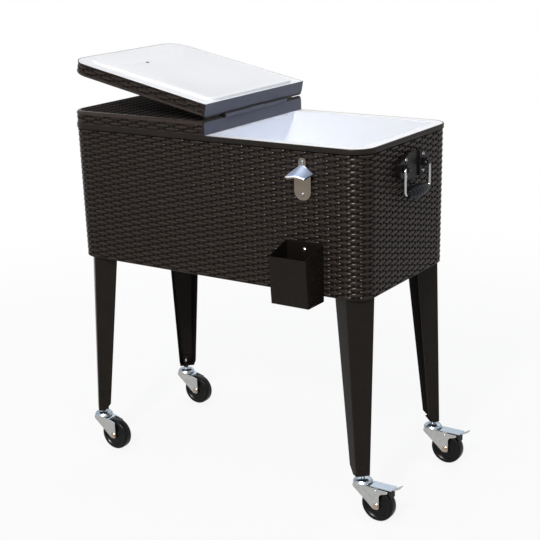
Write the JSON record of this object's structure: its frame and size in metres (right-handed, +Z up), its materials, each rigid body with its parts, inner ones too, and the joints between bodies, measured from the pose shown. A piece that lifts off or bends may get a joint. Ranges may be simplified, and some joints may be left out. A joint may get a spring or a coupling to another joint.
{
  "type": "rolling cooler cart",
  "caption": "Insulated party cooler in a wicker-look shell on folded sheet legs with swivel casters, with folding lid, end handles, bottle opener and cap catcher.",
  "frame": {"origin": "on the floor under the middle of the tub", "axes": "+X along the tub to the right end seen from the front, +Y to the rear, +Z up; the front with the opener faces -Y"},
  "size_m": [0.9022, 0.4683, 0.977],
  "materials": {
    "wicker": "dark brown-charcoal, moulded in a wicker weave",
    "liner": "white, smooth",
    "foam": "pale yellow insulation",
    "leg_paint": "dark brown-black satin",
    "fastener": "black",
    "steel": "bright",
    "opener": "satin plate, polished hood",
    "handle_plastic": "black satin",
    "chrome": "polished",
    "grip": "blue-black",
    "axle": "copper-toned zinc",
    "wheel": "black satin",
    "shoe": "black",
    "drain": "white",
    "zinc": "bright zinc"
  },
  "bodies": {
    "root": {"wicker_shell": "wicker", "inner_liner": "liner", "insulation_foam": "foam", "drain_spout": "drain", "drain_nut": "drain", "leg_bolts": "fastener", "foot_rivets": "fastener", "stem_nuts": "fastener", "bottle_opener": "opener", "opener_screws": "steel", "cap_catcher": "leg_paint", "catcher_screws": "steel", "right_handle_plate": "handle_plastic", "left_handle_plate": "handle_plastic", "right_handle_screws": "steel", "left_handle_screws": "steel", "front_left_leg": "leg_paint", "front_right_leg": "leg_paint", "rear_left_leg": "leg_paint", "rear_right_leg": "leg_paint", "front_left_foot_bracket": "leg_paint", "front_right_foot_bracket": "leg_paint", "rear_left_foot_bracket": "leg_paint", "rear_right_foot_bracket": "leg_paint", "front_left_caster_raceway": "zinc", "front_right_caster_raceway": "zinc", "rear_left_caster_raceway": "zinc", "rear_right_caster_raceway": "zinc"},
    "drain_cap": {"drain_cap": "drain"},
    "left_lid": {"left_lid_shell": "wicker", "left_lid_liner": "liner", "left_lid_foam": "foam", "hinge_pin": "steel"},
    "right_lid": {"right_lid_shell": "wicker", "right_lid_liner": "liner", "right_lid_foam": "foam"},
    "right_handle": {"right_handle_bail": "chrome", "right_handle_grip": "grip"},
    "left_handle": {"left_handle_bail": "chrome", "left_handle_grip": "grip"},
    "front_left_fork": {"front_left_caster_fork": "zinc", "front_left_caster_axle": "axle"},
    "front_left_wheel": {"front_left_caster_wheel": "wheel"},
    "front_right_fork": {"front_right_caster_fork": "zinc", "front_right_caster_axle": "axle", "front_right_pedal_rivets": "axle"},
    "front_right_wheel": {"front_right_caster_wheel": "wheel"},
    "front_right_pedal": {"front_right_brake_pedal": "zinc", "front_right_brake_shoe": "shoe"},
    "rear_left_fork": {"rear_left_caster_fork": "zinc", "rear_left_caster_axle": "axle"},
    "rear_left_wheel": {"rear_left_caster_wheel": "wheel"},
    "rear_right_fork": {"rear_right_caster_fork": "zinc", "rear_right_caster_axle": "axle", "rear_right_pedal_rivets": "axle"},
    "rear_right_wheel": {"rear_right_caster_wheel": "wheel"},
    "rear_right_pedal": {"rear_right_brake_pedal": "zinc", "rear_right_brake_shoe": "shoe"}
  },
  "joints": [
    {"name": "lid_lift", "type": "slide", "parent": "root", "child": "left_lid", "axis": [0, 0, 1], "range_m": [0, 0.15]},
    {"name": "lid_fold", "type": "hinge", "parent": "left_lid", "child": "right_lid", "pos_m": [0, 0, 0.8628], "axis": [0, 1, 0], "range_deg": [0, 168.4]},
    {"name": "right_handle_swing", "type": "hinge", "parent": "root", "child": "right_handle", "pos_m": [0.41681, 0, 0.764], "axis": [0, -1, 0], "range_deg": [0, 95]},
    {"name": "left_handle_swing", "type": "hinge", "parent": "root", "child": "left_handle", "pos_m": [-0.41681, 0, 0.764], "axis": [0, 1, 0], "range_deg": [0, 95]},
    {"name": "front_left_swivel", "type": "hinge", "parent": "root", "child": "front_left_fork", "pos_m": [-0.376, -0.172, 0.082], "axis": [0, 0, 1], "continuous": true},
    {"name": "front_left_roll", "type": "hinge", "parent": "front_left_fork", "child": "front_left_wheel", "pos_m": [-0.336, -0.172, 0.0385], "axis": [0, 1, 0], "continuous": true},
    {"name": "front_right_swivel", "type": "hinge", "parent": "root", "child": "front_right_fork", "pos_m": [0.376, -0.172, 0.082], "axis": [0, 0, 1], "continuous": true},
    {"name": "front_right_roll", "type": "hinge", "parent": "front_right_fork", "child": "front_right_wheel", "pos_m": [0.416, -0.172, 0.0385], "axis": [0, 1, 0], "continuous": true},
    {"name": "front_right_brake", "type": "hinge", "parent": "front_right_fork", "child": "front_right_pedal", "pos_m": [0.414, -0.172, 0.0734], "axis": [0, 1, 0], "range_deg": [0, 4]},
    {"name": "rear_left_swivel", "type": "hinge", "parent": "root", "child": "rear_left_fork", "pos_m": [-0.376, 0.172, 0.082], "axis": [0, 0, 1], "continuous": true},
    {"name": "rear_left_roll", "type": "hinge", "parent": "rear_left_fork", "child": "rear_left_wheel", "pos_m": [-0.336, 0.172, 0.0385], "axis": [0, 1, 0], "continuous": true},
    {"name": "rear_right_swivel", "type": "hinge", "parent": "root", "child": "rear_right_fork", "pos_m": [0.376, 0.172, 0.082], "axis": [0, 0, 1], "continuous": true},
    {"name": "rear_right_roll", "type": "hinge", "parent": "rear_right_fork", "child": "rear_right_wheel", "pos_m": [0.416, 0.172, 0.0385], "axis": [0, 1, 0], "continuous": true},
    {"name": "rear_right_brake", "type": "hinge", "parent": "rear_right_fork", "child": "rear_right_pedal", "pos_m": [0.414, 0.172, 0.0734], "axis": [0, 1, 0], "range_deg": [0, 4]},
    {"name": "drain_cap_turn", "type": "hinge", "parent": "root", "child": "drain_cap", "pos_m": [-0.3, 0, 0.478], "axis": [0, 0, 1], "range_deg": [0, 360]}
  ]
}
